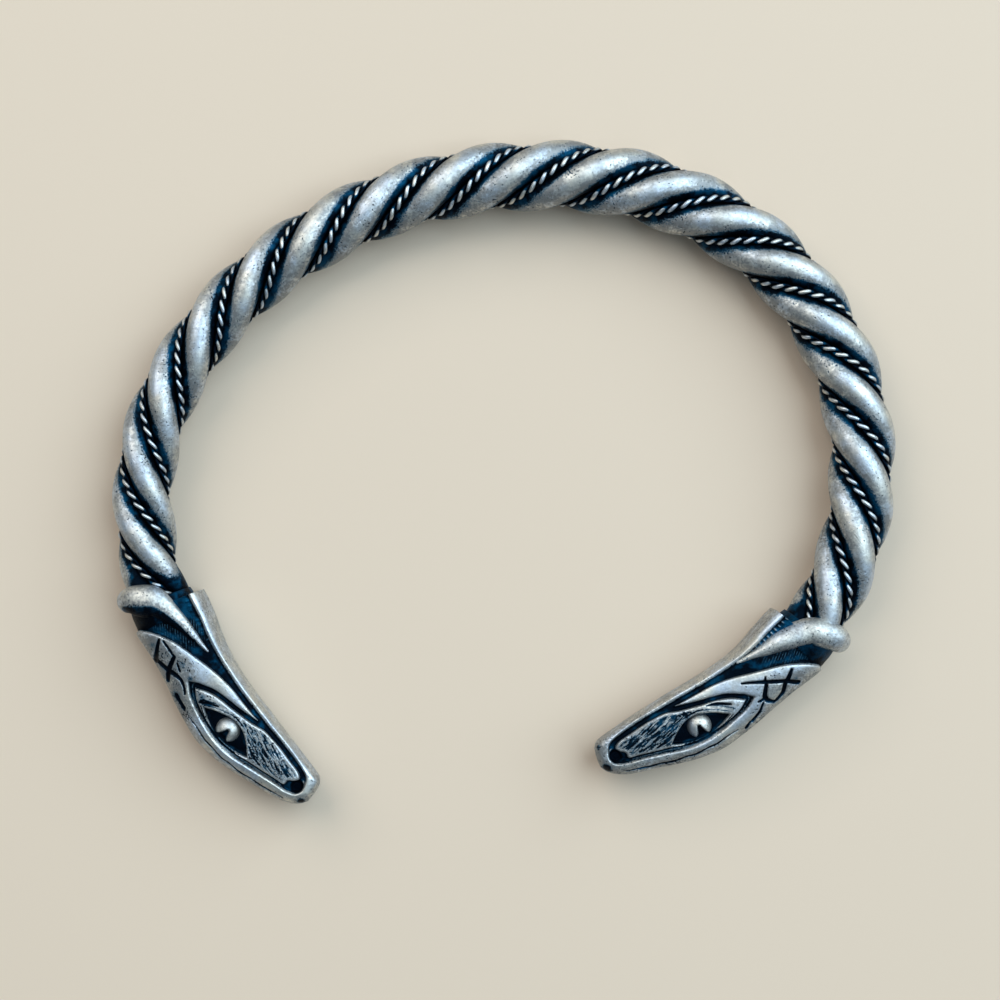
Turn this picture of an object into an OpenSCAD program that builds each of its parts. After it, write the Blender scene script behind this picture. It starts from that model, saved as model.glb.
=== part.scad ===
// Open twisted arm ring with a serpent head at each end.
// It lies flat: the ring is in the XY plane, the opening points to -Y and the table is at z = 0.
// Places on the ring are given as s, the distance along the centre line from the left snout.
// Places on a head are given as t, the distance from its own snout, and v, the distance from the
// centre line towards the outside of the ring.

/* [Bar] */
// Height of the centre line over the table
axis_height = 3.74; // [3.7:0.01:5]
// Length of one full turn of the twist
twist_pitch = 21.8; // [19:0.1:30]
// Place where the first rope comes to the top
twist_start = 34.4; // [30:0.1:40]
// Radius of a rod, as a share of the radius over the crests
rod_share = 0.445; // [0.38:0.005:0.45]
// Radius of a rope, as a share of the radius over the crests
rope_share = 0.118; // [0.08:0.002:0.12]
// Distance of a rope from the middle of the bar, as a share of the radius over the crests
rope_place = 0.74; // [0.74:0.005:0.78]

/* [Heads] */
// Depth of the channels below the raised plates
relief = 0.6; // [0.3:0.05:0.7]
// Radius of the eye ball
eye_radius = 1.15; // [0.8:0.05:1.2]
// Height of the eye ball over the eye panel
eye_rise = 0.15; // [0:0.05:0.4]
// Distance from the snout to the floor of the pocket that holds the end of the bar
pocket_floor = 22.8; // [22.4:0.1:23.4]
// Room round the end of the bar in its pocket
pocket_room = 0.08; // [0.06:0.01:0.12]
// Radius of the neck under the collar
neck_radius = 3.3; // [3.3:0.05:3.4]

/* [Facets] */
// Sides of a rod
rod_sides = 12; // [10:2:16]
// Sides of a rope
rope_sides = 6; // [6:1:10]
// Distance between the rings of points along a rod or rope
ring_step = 1.7; // [1.5:0.05:2.5]

/* [Hidden] */
LEFT = 0;
RIGHT = 1;

// The centre line starts at the left snout and runs clockwise, seen from above.
// Columns: distance along the line, x, y, heading in degrees
ring_start = [0, -19.03, -32.09, 144.9];
// Columns: length of the arc, turn to the right in degrees
ring_arcs = [
    [22.6, 29.8], [10, 20], [16, 36], [16, 24], [16, 21], [16, 20],
    [16, 29], [16, 32], [16, 32], [12, 26.6], [10, 23], [15.9, 12.9]];
ring_length = sum([for (a = ring_arcs) a[0]]);

// Columns: place along the ring, radius over the crests
bar_radii = [
    [22, 3.0], [26, 3.0], [30, 3.1], [45, 3.08], [60, 3.15], [72, 3.3], [85, 3.5], [98, 3.6],
    [112, 3.55], [126, 3.45], [140, 3.4], [152, 3.28], [156.5, 3.0], [161, 3.0]];

// Outline and height of a head
// Columns: t, v of the inner side, v of the crown side, half of the height
head_sections = [
    [0, -0.9, 1.0, 1.3], [0.4, -1.45, 1.55, 1.85], [1.2, -1.75, 2.15, 2.15], [2.5, -2.1, 2.6, 2.35],
    [5, -2.65, 3.05, 2.6], [7.5, -3.0, 3.6, 2.8], [9.4, -3.2, 3.95, 2.92], [11.6, -3.32, 4.12, 3.0],
    [13.8, -3.42, 3.85, 3.1], [15.5, -3.52, 3.6, 3.2], [17.6, -3.68, 3.25, 3.35],
    [19.6, -3.92, 3.15, 3.5], [21.6, -4.15, 3.35, 3.6], [23.1, -4.18, 3.55, 3.65], [24.4, -4.1, 3.55, 3.65]];

// Edge of the lowered ground: along the rail, round the snout and along the crown side
rail_edge = [
    [26, -3.3], [24.1, -3.3], [21.8, -3.4], [19.5, -3.25], [17.2, -3.15], [14.9, -3.1], [12.9, -3.0],
    [10.2, -2.9], [8, -2.7], [5.3, -2.4], [3.3, -1.9], [1.8, -1.25], [1.27, -0.5], [1.13, 0.4], [1.6, 1.1]];
rim_edge = [
    [2.4, 1.35], [3.8, 1.45], [5.1, 1.65], [6.9, 2.0], [8.6, 2.4], [10.3, 2.5], [11.9, 2.35],
    [13.4, 2.05], [15.2, 1.6], [16.5, 0.9]];
brow_edge = [[15.8, 0.1], [14.4, -0.8], [12.9, -1.25], [11.5, -1.55], [10.2, -1.85], [9.1, -2.15]];
crown_edge = [
    [10.2, -2.2], [11.8, -2.25], [13.4, -2.25], [14.9, -2.05], [16.3, -1.7], [17.7, -1.22], [19, -0.7],
    [20.4, 0], [21.5, 0.85], [22.4, 1.9], [23, 2.95]];
ground_end = [[23.3, 6], [29, 6], [29, -3.3]];

// Raised panel between the brow and the nostril, and the almond that is sunk into it
panel_edge = [
    [15.7, 0.7], [14.6, -0.15], [13.4, -0.65], [12, -0.95], [10.6, -1.25], [9.2, -1.55], [8, -1.9],
    [6.6, -1.87], [5.3, -1.7], [3.8, -1.35], [2.6, -1.05], [2, -0.6], [2.2, -0.1], [2.8, 0.3],
    [2.9, 0.9], [3.8, 1.0], [5.1, 1.2], [6.9, 1.5], [8.6, 1.95], [10.3, 2.15], [11.9, 1.95], [13.6, 1.6],
    [14.8, 1.25]];
almond_edge = [
    [13.6, 1.15], [12.4, 0.3], [10.9, -0.35], [9.5, -0.3], [8.3, 0.35], [7.3, 1.25], [8.6, 2.4],
    [10.4, 2.6], [12.2, 2.3]];
eye_place = [10.5, 0.7];

// Collar lobe: a band over the crown side of the neck that runs out to a point on each face, where
// the left one is slimmer and shorter. Columns: t, v, height over the centre line, radius
lobe_beads = [
    [25.85, 3.0, 0.1, 1.2], [25.85, 2.75, 1.3, 1.25], [25.85, 2.0, 2.2, 1.3], [25.4, 0.55, 2.52, 1.31]];
left_point = [
    [24.55, -0.4, 2.6, 1.12], [22.3, -1.35, 2.75, 0.78], [20.3, -1.87, 2.9, 0.48],
    [19.0, -2.15, 2.9, 0.25], [18.1, -2.33, 2.9, 0.12]];
right_point = [
    [24.57, -0.45, 2.6, 1.16], [22.3, -1.67, 2.72, 0.98], [20.3, -2.2, 2.85, 0.62],
    [18.9, -2.55, 2.9, 0.34], [17.0, -2.87, 2.85, 0.13]];
neck_end = 25.2;
pocket_mouth = 28;
pocket_sides = 20;
head_sides = 18;
end_gap = 0.05;
// The core of a head stops short of its skin by this share of the relief, and each link of the
// lobe is this much smaller where it sinks into the next one
core_setback = 0.4;
link_taper = 0.97;

function sum(list, i = 0) = i < len(list) ? list[i] + sum(list, i + 1) : 0;

// The point and heading at distance d along an arc that begins at start
function arc_step(start, arc, d) =
    let (half = arc[1] * d / arc[0] / 2,
         chord = half == 0 ? d : d * sin(half) / (half * PI / 180))
    [start[0] + d,
     start[1] + chord * cos(start[3] - half),
     start[2] + chord * sin(start[3] - half),
     start[3] - 2 * half];
arc_starts = [
    for (i = 0, mark = ring_start;
         i < len(ring_arcs);
         mark = arc_step(mark, ring_arcs[i], ring_arcs[i][0]), i = i + 1) mark];
function arc_at(s) = max([for (i = [0:len(ring_arcs) - 1]) if (i == 0 || arc_starts[i][0] <= s) i]);

// The point at place s on the ring, v outside the centre line and z over it
function ring_point(s, v, z) =
    let (i = arc_at(s), mark = arc_step(arc_starts[i], ring_arcs[i], s - arc_starts[i][0]))
    [mark[1] - v * sin(mark[3]), mark[2] + v * cos(mark[3]), axis_height + z];
function head_point(side, t, v, z) = ring_point(side == LEFT ? t : ring_length - t, v, z);

function crest_radius(s) = lookup(s, bar_radii);
function twist_angle(s) = 360 * (s - twist_start) / twist_pitch;

// Middle of a rod or rope that lies share * crest radius from the middle of the bar
function strand_middle(s, place, turn) =
    let (r = place * crest_radius(s), a = twist_angle(s) + turn)
    ring_point(s, r * sin(a), r * cos(a));
function strand_ring(s, place, share, turn, sides) =
    let (a = twist_angle(s) + turn,
         ahead = strand_middle(s + 0.05, place, turn) - strand_middle(s - 0.05, place, turn),
         out = ring_point(s, sin(a), cos(a)) - ring_point(s, 0, 0),
         across = cross(ahead / norm(ahead), out))
    [for (j = [0:sides - 1])
        let (b = 360 * (j + 0.5) / sides)
        strand_middle(s, place, turn)
            + share * crest_radius(s) * (cos(b) * out + sin(b) * across)];

// Closed skin over rings of points; the rings of a mirrored head run the other way round
module skin(rings, mirrored = false) {
    n = len(rings[0]);
    last = (len(rings) - 1) * n;
    walls = [for (i = [0:len(rings) - 2], j = [0:n - 1], half = [0, 1])
        let (a = i * n + j, b = i * n + (j + 1) % n)
        half == 0 ? [a, a + n, b + n] : [a, b + n, b]];
    caps = [[for (j = [0:n - 1]) j], [for (j = [n - 1:-1:0]) last + j]];
    faces = concat(walls, caps);
    polyhedron(
        [for (ring = rings) each ring],
        mirrored ? [for (f = faces) [for (k = [len(f) - 1:-1:0]) f[k]]] : faces,
        convexity = 6);
}

module strand(place, share, turn, sides) {
    first = pocket_floor + end_gap + share * 1.6;
    last = ring_length - first;
    count = ceil((last - first) / ring_step);
    skin([for (i = [0:count])
        strand_ring(first + (last - first) * i / count, place, share, turn, sides)]);
}

module rod(turn) {
    color("silver") strand(1 - rod_share, rod_share, turn, rod_sides);
}

module rope(turn) {
    color("lightslategray") strand(rope_place, rope_share, turn, rope_sides);
}

// Section of a head: square towards the inside of the ring, rounded on the crown side
function head_ring(side, row, inset) =
    let (inner = row[1] + inset, crown = row[2] - inset, height = row[3] - inset,
         middle = inner + 0.42 * (crown - inner),
         back = head_sections[len(head_sections) - 1][0] - core_setback * inset,
         t = min(max(row[0], core_setback * inset), back))
    [for (j = [0:head_sides - 1])
        let (a = 360 * (j + 0.5) / head_sides,
             p = cos(a) > 0 ? 0.8 : 0.35,
             half = cos(a) > 0 ? crown - middle : middle - inner)
        head_point(side, t,
            middle + half * sign(cos(a)) * pow(abs(cos(a)), p),
            height * sign(sin(a)) * pow(abs(sin(a)), p))];

module head_form(side, inset) {
    skin([for (row = head_sections) head_ring(side, row, inset)], side == RIGHT);
}

module head_prism(side, outline) {
    translate([0, 0, axis_height]) linear_extrude(12, center = true)
        polygon([for (p = outline) [head_point(side, p[0], p[1], 0).x, head_point(side, p[0], p[1], 0).y]]);
}

module neck(side, from, to, radius) {
    skin([for (i = [0:4])
        [for (j = [0:pocket_sides - 1])
            let (a = 360 * (j + 0.5) / pocket_sides)
            head_point(side, from + (to - from) * i / 4, radius * cos(a), radius * sin(a))]],
        side == RIGHT);
}

module lobe_bead(side, bead, face, size) {
    translate(head_point(side, bead[0], bead[1], face * bead[2])) sphere(size * bead[3], $fn = 8);
}

module lobe(side) {
    beads = concat(lobe_beads, side == LEFT ? left_point : right_point);
    for (face = [1, -1], i = [0:len(beads) - 2])
        hull() {
            lobe_bead(side, beads[i], face, 1);
            lobe_bead(side, beads[i + 1], face, link_taper);
        }
}

module eyes(side) {
    height = lookup(eye_place[0], [for (row = head_sections) [row[0], row[3]]]);
    for (face = [1, -1])
        translate(head_point(side, eye_place[0], eye_place[1], face * (height + eye_rise - eye_radius)))
            sphere(eye_radius, $fn = 12);
}

module head(side) {
    pocket_radius = crest_radius(pocket_floor) + pocket_room;
    color("silver") difference() {
        union() {
            head_form(side, relief);
            difference() {
                head_form(side, 0);
                head_prism(side, concat(rail_edge, rim_edge, brow_edge, crown_edge, ground_end));
            }
            intersection() {
                head_form(side, 0);
                difference() {
                    head_prism(side, panel_edge);
                    head_prism(side, almond_edge);
                }
            }
            neck(side, pocket_floor - 1, neck_end, neck_radius);
            lobe(side);
            eyes(side);
        }
        neck(side, pocket_floor, pocket_mouth, pocket_radius);
    }
}

module strand_a() { rod(60); }
module strand_b() { rod(180); }
module strand_c() { rod(300); }
module rope_a() { rope(0); }
module rope_b() { rope(120); }
module rope_c() { rope(240); }
module head_left() { head(LEFT); }
module head_right() { head(RIGHT); }

strand_a();
strand_b();
strand_c();
rope_a();
rope_b();
rope_c();
head_left();
head_right();
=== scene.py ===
"""Finish of an open arm ring: three twisted rods, a small wire rope in each groove between them and a
serpent head at each end, in cast silver that is dark in the recesses and worn bright on what stands up.

The shapes lie where the frame's solids lie. Tables of the ring are in millimetres, as on a drawing, and
MM turns them into Blender's metres. A place on the ring is s, the distance along the centre line from the
left snout. A place on a head is t, the distance from its own snout, and v, the distance from the centre
line towards the outside of the ring.
"""
from types import SimpleNamespace

import bmesh
import bpy
import numpy as np
from bpy.props import FloatProperty, FloatVectorProperty, IntProperty, PointerProperty
from bpy.types import Operator, Panel, PropertyGroup
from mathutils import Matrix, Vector


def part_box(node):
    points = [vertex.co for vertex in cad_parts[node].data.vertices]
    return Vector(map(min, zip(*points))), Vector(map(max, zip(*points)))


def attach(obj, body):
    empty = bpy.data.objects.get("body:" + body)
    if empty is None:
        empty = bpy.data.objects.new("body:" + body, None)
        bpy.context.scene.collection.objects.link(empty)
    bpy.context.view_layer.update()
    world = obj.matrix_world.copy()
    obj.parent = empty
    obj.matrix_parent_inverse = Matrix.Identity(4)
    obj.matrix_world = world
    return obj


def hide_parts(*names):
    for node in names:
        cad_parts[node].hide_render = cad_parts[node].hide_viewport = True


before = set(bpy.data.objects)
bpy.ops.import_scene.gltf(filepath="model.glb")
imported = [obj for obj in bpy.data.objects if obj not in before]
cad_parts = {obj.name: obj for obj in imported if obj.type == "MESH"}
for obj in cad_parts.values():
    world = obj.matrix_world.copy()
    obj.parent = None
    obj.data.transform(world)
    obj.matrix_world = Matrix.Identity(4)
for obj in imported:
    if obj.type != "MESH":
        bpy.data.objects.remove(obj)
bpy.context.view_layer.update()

bl_info = {
    "name": "Twisted arm ring",
    "version": (1, 0, 0),
    "blender": (4, 5, 0),
    "location": "View3D > Sidebar > Arm ring",
    "description": "Rods, wire ropes and serpent heads of a worn silver arm ring",
    "category": "Add Mesh",
}

MM = 0.001
HEAD_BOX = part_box("head_left")
AXIS_HEIGHT = (HEAD_BOX[0][2] + HEAD_BOX[1][2]) / 2

# Centre line: x, y and heading in degrees at the left snout, then length and right turn of each arc
RING_START = (-19.03, -32.09, 144.9)
RING_ARCS = np.array([
    (22.6, 29.8), (10, 20), (16, 36), (16, 24), (16, 21), (16, 20),
    (16, 29), (16, 32), (16, 32), (12, 26.6), (10, 23), (15.9, 12.9)])
RING_LENGTH = RING_ARCS[:, 0].sum()
# Place along the ring and radius over the crests of the rods
BAR_RADII = np.array([
    (22, 3.0), (26, 3.0), (30, 3.1), (45, 3.08), (60, 3.15), (72, 3.3), (85, 3.5), (98, 3.6),
    (112, 3.55), (126, 3.45), (140, 3.4), (152, 3.28), (156.5, 3.0), (161, 3.0)])
TWIST_START = 34.4
ROD_TURNS = {"a": 60, "b": 180, "c": 300}
ROPE_TURNS = {"a": 0, "b": 120, "c": 240}

# Outline of a head: t, v of the inner side, v of the crown side, half of the height
HEAD_SECTIONS = np.array([
    (0, -0.9, 1.0, 1.3), (0.4, -1.45, 1.55, 1.85), (1.2, -1.75, 2.15, 2.15), (2.5, -2.1, 2.6, 2.35),
    (5, -2.65, 3.05, 2.6), (7.5, -3.0, 3.6, 2.8), (9.4, -3.2, 3.95, 2.92), (11.6, -3.32, 4.12, 3.0),
    (13.8, -3.42, 3.85, 3.1), (15.5, -3.52, 3.6, 3.2), (17.6, -3.68, 3.25, 3.35),
    (19.6, -3.92, 3.15, 3.5), (21.6, -4.15, 3.35, 3.6), (23.1, -4.18, 3.55, 3.65),
    (24.4, -4.1, 3.55, 3.65)])
# Section of a head: where its middle lies, and how square it is on the crown side and on the inner side
SECTION_MIDDLE = 0.42
CROWN_SQUARENESS = 2.5
INNER_SQUARENESS = 5.7

# Edge of the lowered ground, as places (t, v): along the rail, the rim, the brow and the crown plate
RAIL_EDGE = [
    (26, -3.3), (24.1, -3.3), (21.8, -3.4), (19.5, -3.25), (17.2, -3.15), (14.9, -3.1), (12.9, -3.0),
    (10.2, -2.9), (8, -2.7), (5.3, -2.4), (3.3, -1.9), (1.8, -1.25), (1.27, -0.5), (1.13, 0.4),
    (1.6, 1.1)]
RIM_EDGE = [
    (2.4, 1.35), (3.8, 1.45), (5.1, 1.65), (6.9, 2.0), (8.6, 2.4), (10.3, 2.5), (11.9, 2.35),
    (13.4, 2.05), (15.2, 1.6), (16.5, 0.9)]
BROW_EDGE = [(15.8, 0.1), (14.4, -0.8), (12.9, -1.25), (11.5, -1.55), (10.2, -1.85), (9.1, -2.15)]
CROWN_EDGE = [
    (10.2, -2.2), (11.8, -2.25), (13.4, -2.25), (14.9, -2.05), (16.3, -1.7), (17.7, -1.22), (19, -0.7),
    (20.4, 0), (21.5, 0.85), (22.4, 1.9), (23, 2.95)]
GROUND_END = [(23.3, 6), (29, 6), (29, -3.3), (26, -3.3)]
# Raised panel with the eye, from its back tip along the brow to the nostril and back along the rim
PANEL_EDGE = [
    (15.7, 0.7), (14.6, -0.15), (13.4, -0.65), (12, -0.95), (10.6, -1.25), (9.2, -1.55), (8, -1.9),
    (6.6, -1.87), (5.3, -1.7), (3.8, -1.35), (2.6, -1.05), (2, -0.6), (2.2, -0.1), (2.8, 0.3),
    (2.9, 0.9), (3.8, 1.0), (5.1, 1.2), (6.9, 1.5), (8.6, 1.95), (10.3, 2.15), (11.9, 1.95),
    (13.6, 1.6), (14.8, 1.25), (15.7, 0.7)]
ALMOND_TOP = [(13.6, 1.15), (12.4, 0.3), (10.9, -0.35), (9.5, -0.3), (8.3, 0.35), (7.3, 1.25)]
ALMOND_BASE = [(7.3, 1.25), (8.4, 1.75), (9.6, 2.05), (10.8, 2.1), (12.0, 1.85), (13.6, 1.15)]
EYE_PLACE = (10.5, 0.7)
# Middle of the nostril (t, v) and its half sizes
NOSTRIL = (1.75, 0.35, 0.6, 0.75)
# Collar lobe: t, v, height over the centre line, radius. The drawn-out point differs on the two heads
LOBE_BEADS = [
    (25.85, 3.0, 0, 1.2), (25.85, 2.75, 1.3, 1.25), (25.85, 2.0, 2.2, 1.3), (25.4, 0.55, 2.52, 1.31)]
LOBE_POINTS = {
    "left": [(24.55, -0.4, 2.6, 1.12), (22.3, -1.35, 2.75, 0.78), (20.3, -1.87, 2.9, 0.48),
             (19.0, -2.15, 2.9, 0.25), (18.1, -2.33, 2.9, 0.12)],
    "right": [(24.57, -0.45, 2.6, 1.16), (22.3, -1.67, 2.72, 0.98), (20.3, -2.2, 2.85, 0.62),
              (18.9, -2.55, 2.9, 0.34), (17.0, -2.87, 2.85, 0.13)],
}
# Painted shade on the flank of the lobe towards the snout: where it begins, from 0 at its top to 1 at its
# side
LOBE_SHADE = {"left": 0.15, "right": 0.6}
# How much wider than round the drawn-out lobe is, towards the snout and towards the rail
LOBE_SPREAD = {"left": (0.5, -0.1), "right": (0.2, 0.3)}
# Painted shade under the lobe: how much of the painted blue sheen on the neck is taken away on the crown
# side
NECK_PAINTED_SHADE = {"left": 0.9, "right": 0.5}
# Sleeve at the back of a head, and the pocket in it that holds the bar
NECK_RADIUS = 3.3
NECK_END = 25.2
POCKET_FLOOR = 22.8
POCKET_RADIUS = 3.08

# Engraved lines of each head: t, v and half of the line's width
SCALE_LINES = {
    "left": [
        [(21.4, 1.35, 0.14), (20.6, 2.05, 0.2), (19.9, 2.7, 0.3)],
        [(21.1, 1.0, 0.1), (20.3, 0.87, 0.12), (19.45, 0.77, 0.1)],
        [(19.25, 0.8, 0.18), (18.5, 1.9, 0.24), (17.7, 2.65, 0.22)],
        [(19.7, 2.5, 0.2), (18.7, 2.1, 0.22), (17.85, 1.67, 0.22), (17.0, 1.42, 0.16), (16.2, 1.62, 0.12),
         (15.7, 1.9, 0.1)],
        [(18.6, 0.82, 0.08), (17.8, 1.02, 0.1)],
        [(16.1, 2.7, 0.16), (14.7, 2.85, 0.2)],
        [(14.3, 1.22, 0.07), (13.7, 0.52, 0.09), (12.8, -0.12, 0.05)]],
    "right": [
        [(16.1, -0.95, 0.07), (17.0, -0.5, 0.12), (18.1, 0.2, 0.16), (19.2, 1.02, 0.17),
         (19.75, 1.47, 0.18), (20.6, 2.5, 0.2)],
        [(18.45, -0.12, 0.08), (18.15, 0.25, 0.14)],
        [(20.9, 1.0, 0.14), (20.2, 1.38, 0.2), (19.6, 1.65, 0.2), (19.0, 2.19, 0.2), (18.4, 2.4, 0.16),
         (17.8, 2.5, 0.14)],
        [(18.1, 0.55, 0.16), (17.6, 1.1, 0.2), (17.35, 1.5, 0.22), (17.4, 2.0, 0.2), (17.8, 2.45, 0.14)],
        [(16.6, 1.55, 0.1), (17.05, 1.6, 0.14), (17.35, 1.5, 0.18)],
        [(16.9, 1.9, 0.1), (16.2, 2.5, 0.13), (15.2, 2.92, 0.16)],
        [(14.95, 2.93, 0.13), (14.4, 3.2, 0.16)],
        [(14.2, 0.3, 0.07), (13.0, -0.45, 0.12), (12.0, -0.75, 0.05)]],
}
# How many times wider the engraved lines are cut than their table says
STROKE_WIDTH = {"left": 1.05, "right": 1.2}
# Thin crease in the rim of both heads, and the fold lines of the eyelid
SHARED_LINES = [
    [(2.2, 2.05, 0.06), (3.4, 2.26, 0.11), (4.6, 2.5, 0.12), (5.6, 2.62, 0.1), (6.8, 2.92, 0.13),
     (8, 3.0, 0.1), (9, 3.2, 0.13), (10.2, 3.16, 0.11), (11.2, 3.2, 0.13), (12.4, 3.02, 0.1),
     (13.6, 2.95, 0.05)],
    [(13.9, 1.3, 0.06), (12.0, 2.0, 0.08), (10.8, 2.22, 0.08), (9.6, 2.17, 0.07), (8.4, 1.87, 0.06)]]
# Middle of the channel that carries the rungs, t and v
LADDER_LINE = [(24.4, -2.85), (22.5, -3.0), (20.5, -3.02), (18.5, -2.95)]
# Distance from rung to rung, and how tall the rungs are on each head
RUNG_STEP = 0.58
RUNG_SHARE = {"left": 0.55, "right": 1}
# How much less the panel, the snout's rim and the crown plate are rubbed than the other plates
PANEL_TARNISH = {"left": 0.34, "right": 0.45}
SNOUT_TARNISH = {"left": 0.08, "right": 0.38}
CROWN_TARNISH = {"left": 0.46, "right": 0.12}
# Patches of grime on each head: t, v, half of the width and strength
GRIME = {
    "left": [(21.3, 2.1, 0.5, 0.2), (16.6, 0.6, 0.45, 0.5), (16.0, 2.75, 0.5, 0.35),
             (18.3, -0.1, 0.8, 0.3), (0.5, 1.25, 0.55, 1.0), (0.3, -1.3, 0.4, 0.35)],
    "right": [(20.7, 1.9, 0.6, 0.5), (19.4, 0.4, 0.45, 0.25), (0.5, 1.2, 0.5, 1.0), (0.3, -1.2, 0.35, 0.4)],
}
# Surface attributes of parts that bear no strokes or fine lines
PLAIN = {"hatch": 0, "comb": 0, "plan_t": 24.0, "plan_v": 0}
# The snout is closed by smaller and smaller copies of its outline, which stand out a little
SNOUT_STEPS = (0.3, 0.7, 0.9)
SNOUT_BULGE = 0.12
# Points round the neck, the lobe and the eye ball, and from the eye's top to its foot
NECK_SIDES = 72
LOBE_SIDES = 40
EYE_SIDES = 80
EYE_ROWS = 41

# The wear of a strand is a half at this reach or height, and grows by 1 over the spread
ROD_WEAR_REACH = 0.877
ROD_WEAR_SPREAD = 0.2
ROPE_WEAR_HEIGHT = 0.63
ROPE_WEAR_SPREAD = 0.34

# Scales of the noise in the metal, in cells to the metre
RAGGED_SCALE = 1300.0
FRAYED_SCALE = 7500.0
PIT_SCALE = 5200.0
PIT_FIELD_SCALE = 420.0
CLOUD_SCALE = 700.0
SPECK_SCALE = 3600.0
TINT_SCALE = 330.0
GRAIN_SCALE = 9000.0
DENT_SCALE = 1500.0
SCRATCH_SCALE = 260.0
# Scratches: their turn in radians, and how many times longer than wide they are
SCRATCH_SETS = ((0.6, 24.0), (2.2, 30.0))


# The ring's geometry

ARC_STARTS = np.concatenate([[0], np.cumsum(RING_ARCS[:, 0])[:-1]])
ARC_BENDS = np.radians(RING_ARCS[:, 1]) / RING_ARCS[:, 0]


def arc_step(x, y, heading, bend, distance):
    """The point and heading at a distance along an arc that bends to the right."""
    half = bend * distance / 2
    chord = distance * np.sinc(half / np.pi)
    return x + chord * np.cos(heading - half), y + chord * np.sin(heading - half), heading - 2 * half


def arc_marks():
    """The point and heading at which each arc of the centre line begins."""
    marks = [(RING_START[0], RING_START[1], np.radians(RING_START[2]))]
    for length, bend in zip(RING_ARCS[:-1, 0], ARC_BENDS):
        marks.append(arc_step(*marks[-1], bend, length))
    return np.array(marks)


ARC_MARKS = arc_marks()


def ring_point(s, v, z):
    """Points in metres at place s, v outside the centre line and z over it, all in millimetres."""
    s, v, z = np.broadcast_arrays(s, v, z)
    i = np.clip(np.searchsorted(ARC_STARTS, s, side="right") - 1, 0, len(ARC_STARTS) - 1)
    mark = ARC_MARKS[i]
    x, y, heading = arc_step(mark[..., 0], mark[..., 1], mark[..., 2], ARC_BENDS[i], s - ARC_STARTS[i])
    return np.stack(
        [MM * (x - v * np.sin(heading)), MM * (y + v * np.cos(heading)), AXIS_HEIGHT + MM * z], -1)


def head_point(side, t, v, z):
    """Points in metres on the left or the right head."""
    return ring_point(t if side == "left" else RING_LENGTH - np.asarray(t), v, z)


def crest_radius(s):
    return np.interp(s, BAR_RADII[:, 0], BAR_RADII[:, 1])


def unit(vectors):
    return vectors / np.linalg.norm(vectors, axis=-1, keepdims=True)


def angles(count):
    """Angles at even steps once round."""
    return 2 * np.pi * np.arange(count) / count


def round_ways(count, up, across):
    """Ways out from the middle of a tube at each of its rings, from its way up round to its way across."""
    cos, sin = np.cos(angles(count)), np.sin(angles(count))
    return cos[None, :, None] * up[:, None, :] + sin[None, :, None] * across[:, None, :]


def blend(low, high, values):
    """0 below low, 1 above high and a smooth step between them."""
    x = np.clip((values - low) / (high - low), 0, 1)
    return x * x * (3 - 2 * x)


def flowing(points, per_span=6):
    """A smooth line through the points of an open outline; any columns after the first two follow."""
    p = np.asarray(points, float)
    p = np.vstack([2 * p[0] - p[1], p, 2 * p[-1] - p[-2]])
    u = np.linspace(0, 1, per_span, endpoint=False)[:, None]
    spans = [
        0.5 * (2 * b + (c - a) * u + (2 * a - 5 * b + 4 * c - d) * u**2 + (3 * b - a - 3 * c + d) * u**3)
        for a, b, c, d in zip(p, p[1:], p[2:], p[3:])]
    return np.vstack(spans + [p[-2:-1]])


def nearest_share(start, end, t, v):
    """How far along a straight piece of line its nearest point to each place lies, and the distance."""
    along = end[:2] - start[:2]
    share = ((t - start[0]) * along[0] + (v - start[1]) * along[1]) / max(along @ along, 1e-12)
    share = np.clip(share, 0, 1)
    return share, np.hypot(t - start[0] - share * along[0], v - start[1] - share * along[1])


def distance_to(line, t, v):
    """Distance from each place (t, v) to a line."""
    gaps = [nearest_share(start, end, t, v)[1] for start, end in zip(line, line[1:])]
    return np.min(gaps, axis=0)


def line_cover(line, t, v):
    """1 along the middle of a line (t, v, half of its width), 0 beyond its width."""
    cover = np.zeros_like(t)
    for start, end in zip(line, line[1:]):
        share, gap = nearest_share(start, end, t, v)
        half = start[2] + share * (end[2] - start[2])
        cover = np.maximum(cover, 1 - blend(0.5 * half, 1.15 * half, gap))
    return cover


def depth_inside(line, t, v):
    """Distance to a closed line, positive inside it and negative outside."""
    inside = np.zeros(t.shape, bool)
    for start, end in zip(line, line[1:]):
        crosses = (start[1] > v) != (end[1] > v)
        rise = np.where(crosses, end[1] - start[1], 1)
        inside ^= crosses & (t < start[0] + (v - start[1]) * (end[0] - start[0]) / rise)
    return np.where(inside, 1, -1) * distance_to(line, t, v)


# Meshes

def grid_faces(rows, columns, start=0):
    """Four-cornered faces of a sheet of rows of points whose ends meet."""
    i, j = np.meshgrid(np.arange(rows - 1), np.arange(columns), indexing="ij")
    near, far = start + i * columns, start + (i + 1) * columns
    ahead = (j + 1) % columns
    return np.stack([near + j, near + ahead, far + ahead, far + j], -1).reshape(-1, 4).tolist()


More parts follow.
